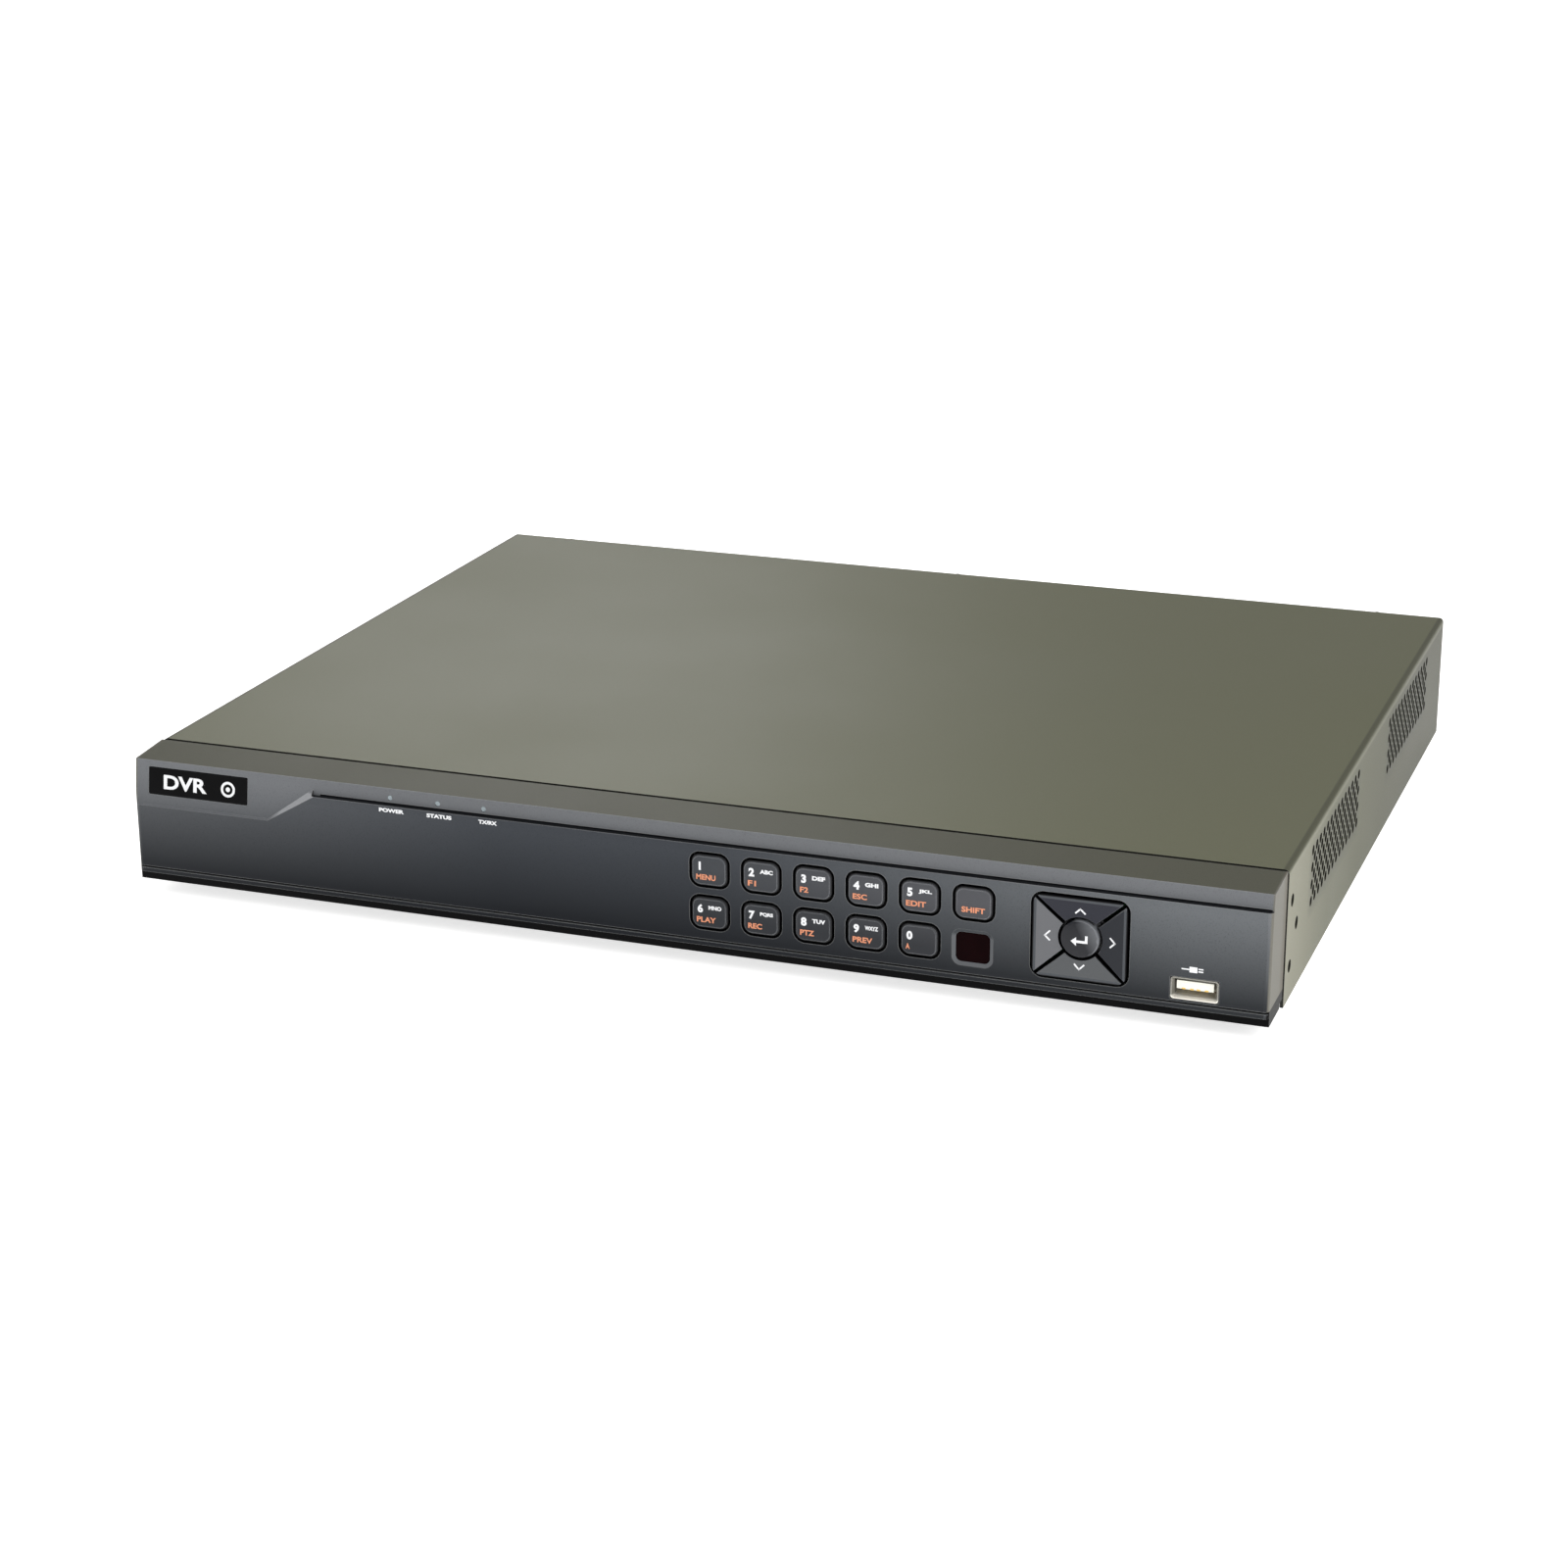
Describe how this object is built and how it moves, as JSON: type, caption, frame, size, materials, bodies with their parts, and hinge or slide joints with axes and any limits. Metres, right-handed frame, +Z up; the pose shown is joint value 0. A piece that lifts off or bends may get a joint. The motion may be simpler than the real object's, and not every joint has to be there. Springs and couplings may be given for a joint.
{
  "type": "digital video recorder",
  "caption": "Slim surveillance video recorder: steel case, moulded front with keypad, direction pad and USB socket, rear panel with camera inputs, drive and fan inside.",
  "frame": {"origin": "middle of the footprint, on the surface that the feet stand on", "axes": "+X to the right seen from the front, +Y towards the rear panel, +Z up"},
  "size_m": [0.38, 0.316, 0.048],
  "materials": {
    "tray_steel": "zinc-plated sheet steel, satin",
    "cover_paint": "olive-grey powder coat, fine texture",
    "bezel_plastic": "dark gunmetal moulded plastic, satin",
    "badge_gloss": "black gloss plate",
    "ir_acrylic": "dark red infrared window, glossy",
    "clear_acrylic": "clear acrylic light pipe",
    "led_resin": "diffused resin",
    "circuit_board": "green solder mask",
    "black_moulding": "black moulded plastic",
    "plated_steel": "nickel-plated steel",
    "cream_plastic": "cream moulded plastic",
    "key_plastic": "dark grey key caps, satin",
    "enter_plastic": "dark grey, semi-gloss",
    "brass": "plated brass",
    "heat_sink_aluminium": "black anodised aluminium",
    "capacitor_sleeve": "blue shrink sleeve",
    "nickel_plate": "bright nickel plate",
    "audio_red": "red moulded plastic",
    "vga_blue": "blue moulded plastic with plated screws",
    "terminal_green": "green moulded plastic",
    "drive_casting": "machined cast aluminium",
    "drive_lid_steel": "stamped steel lid",
    "platter_mirror": "polished disks",
    "lead_red": "flat flexible lead",
    "foot_rubber": "black rubber"
  },
  "bodies": {
    "case": {"base_tray": "tray_steel", "top_cover": "cover_paint", "front_bezel": "bezel_plastic", "name_badge": "badge_gloss", "ir_window": "ir_acrylic", "light_pipe": "clear_acrylic", "status_leds": "led_resin", "led_board": "circuit_board", "key_board": "circuit_board", "tact_switches": "black_moulding", "ir_receiver": "black_moulding", "front_usb_shell": "plated_steel", "front_usb_tongue": "cream_plastic", "main_board": "circuit_board", "board_standoffs": "brass", "pan_screws": "plated_steel", "heat_sink": "heat_sink_aluminium", "board_chips": "black_moulding", "board_capacitors": "capacitor_sleeve", "clock_battery": "nickel_plate", "cable_sockets": "cream_plastic", "bnc_housings": "black_moulding", "bnc_barrels": "nickel_plate", "bnc_contacts": "brass", "audio_jacks": "nickel_plate", "audio_rings": "audio_red", "vga_port": "vga_blue", "hdmi_port": "plated_steel", "network_port": "plated_steel", "rear_usb_port": "plated_steel", "serial_terminal": "terminal_green", "dc_inlet": "black_moulding", "switch_frame": "black_moulding", "ground_screw": "brass", "fan_frame": "black_moulding", "drive_base": "drive_casting", "drive_lid": "drive_lid_steel", "drive_board": "circuit_board", "drive_leads": "lead_red", "feet": "foot_rubber"},
    "key_1": {"key_1": "key_plastic"},
    "key_2": {"key_2": "key_plastic"},
    "key_3": {"key_3": "key_plastic"},
    "key_4": {"key_4": "key_plastic"},
    "key_5": {"key_5": "key_plastic"},
    "key_shift": {"key_shift": "key_plastic"},
    "key_6": {"key_6": "key_plastic"},
    "key_7": {"key_7": "key_plastic"},
    "key_8": {"key_8": "key_plastic"},
    "key_9": {"key_9": "key_plastic"},
    "key_0": {"key_0": "key_plastic"},
    "pad_up": {"pad_up": "key_plastic"},
    "pad_down": {"pad_down": "key_plastic"},
    "pad_left": {"pad_left": "key_plastic"},
    "pad_right": {"pad_right": "key_plastic"},
    "pad_enter": {"pad_enter": "enter_plastic"},
    "power_rocker": {"power_rocker": "black_moulding"},
    "fan_rotor": {"fan_rotor": "black_moulding"},
    "drive_platters": {"drive_platters": "platter_mirror"},
    "drive_actuator": {"drive_actuator": "drive_casting"}
  },
  "joints": [
    {"name": "key_1_press", "type": "slide", "parent": "case", "child": "key_1", "axis": [0, 1, 0], "range_m": [0, 0.0007], "stiffness_N_per_m": 400},
    {"name": "key_2_press", "type": "slide", "parent": "case", "child": "key_2", "axis": [0, 1, 0], "range_m": [0, 0.0007], "stiffness_N_per_m": 400},
    {"name": "key_3_press", "type": "slide", "parent": "case", "child": "key_3", "axis": [0, 1, 0], "range_m": [0, 0.0007], "stiffness_N_per_m": 400},
    {"name": "key_4_press", "type": "slide", "parent": "case", "child": "key_4", "axis": [0, 1, 0], "range_m": [0, 0.0007], "stiffness_N_per_m": 400},
    {"name": "key_5_press", "type": "slide", "parent": "case", "child": "key_5", "axis": [0, 1, 0], "range_m": [0, 0.0007], "stiffness_N_per_m": 400},
    {"name": "key_shift_press", "type": "slide", "parent": "case", "child": "key_shift", "axis": [0, 1, 0], "range_m": [0, 0.0007], "stiffness_N_per_m": 400},
    {"name": "key_6_press", "type": "slide", "parent": "case", "child": "key_6", "axis": [0, 1, 0], "range_m": [0, 0.0007], "stiffness_N_per_m": 400},
    {"name": "key_7_press", "type": "slide", "parent": "case", "child": "key_7", "axis": [0, 1, 0], "range_m": [0, 0.0007], "stiffness_N_per_m": 400},
    {"name": "key_8_press", "type": "slide", "parent": "case", "child": "key_8", "axis": [0, 1, 0], "range_m": [0, 0.0007], "stiffness_N_per_m": 400},
    {"name": "key_9_press", "type": "slide", "parent": "case", "child": "key_9", "axis": [0, 1, 0], "range_m": [0, 0.0007], "stiffness_N_per_m": 400},
    {"name": "key_0_press", "type": "slide", "parent": "case", "child": "key_0", "axis": [0, 1, 0], "range_m": [0, 0.0007], "stiffness_N_per_m": 400},
    {"name": "pad_up_press", "type": "slide", "parent": "case", "child": "pad_up", "axis": [0, 1, 0], "range_m": [0, 0.0007], "stiffness_N_per_m": 400},
    {"name": "pad_down_press", "type": "slide", "parent": "case", "child": "pad_down", "axis": [0, 1, 0], "range_m": [0, 0.0007], "stiffness_N_per_m": 400},
    {"name": "pad_left_press", "type": "slide", "parent": "case", "child": "pad_left", "axis": [0, 1, 0], "range_m": [0, 0.0007], "stiffness_N_per_m": 400},
    {"name": "pad_right_press", "type": "slide", "parent": "case", "child": "pad_right", "axis": [0, 1, 0], "range_m": [0, 0.0007], "stiffness_N_per_m": 400},
    {"name": "pad_enter_press", "type": "slide", "parent": "case", "child": "pad_enter", "axis": [0, 1, 0], "range_m": [0, 0.0007], "stiffness_N_per_m": 400},
    {"name": "power_rocker_tilt", "type": "hinge", "parent": "case", "child": "power_rocker", "pos_m": [-0.15, 0.1466, 0.0256], "axis": [1, 0, 0], "range_deg": [0, 24]},
    {"name": "fan_spin", "type": "hinge", "parent": "case", "child": "fan_rotor", "pos_m": [-0.1828, 0.073, 0.0252], "axis": [1, 0, 0], "continuous": true},
    {"name": "drive_spindle", "type": "hinge", "parent": "case", "child": "drive_platters", "pos_m": [-0.121, -0.079, 0.0206], "axis": [0, 0, 1], "continuous": true},
    {"name": "drive_arm_swing", "type": "hinge", "parent": "case", "child": "drive_actuator", "pos_m": [-0.085, -0.017, 0.0206], "axis": [0, 0, 1], "range_deg": [0, 48]}
  ]
}
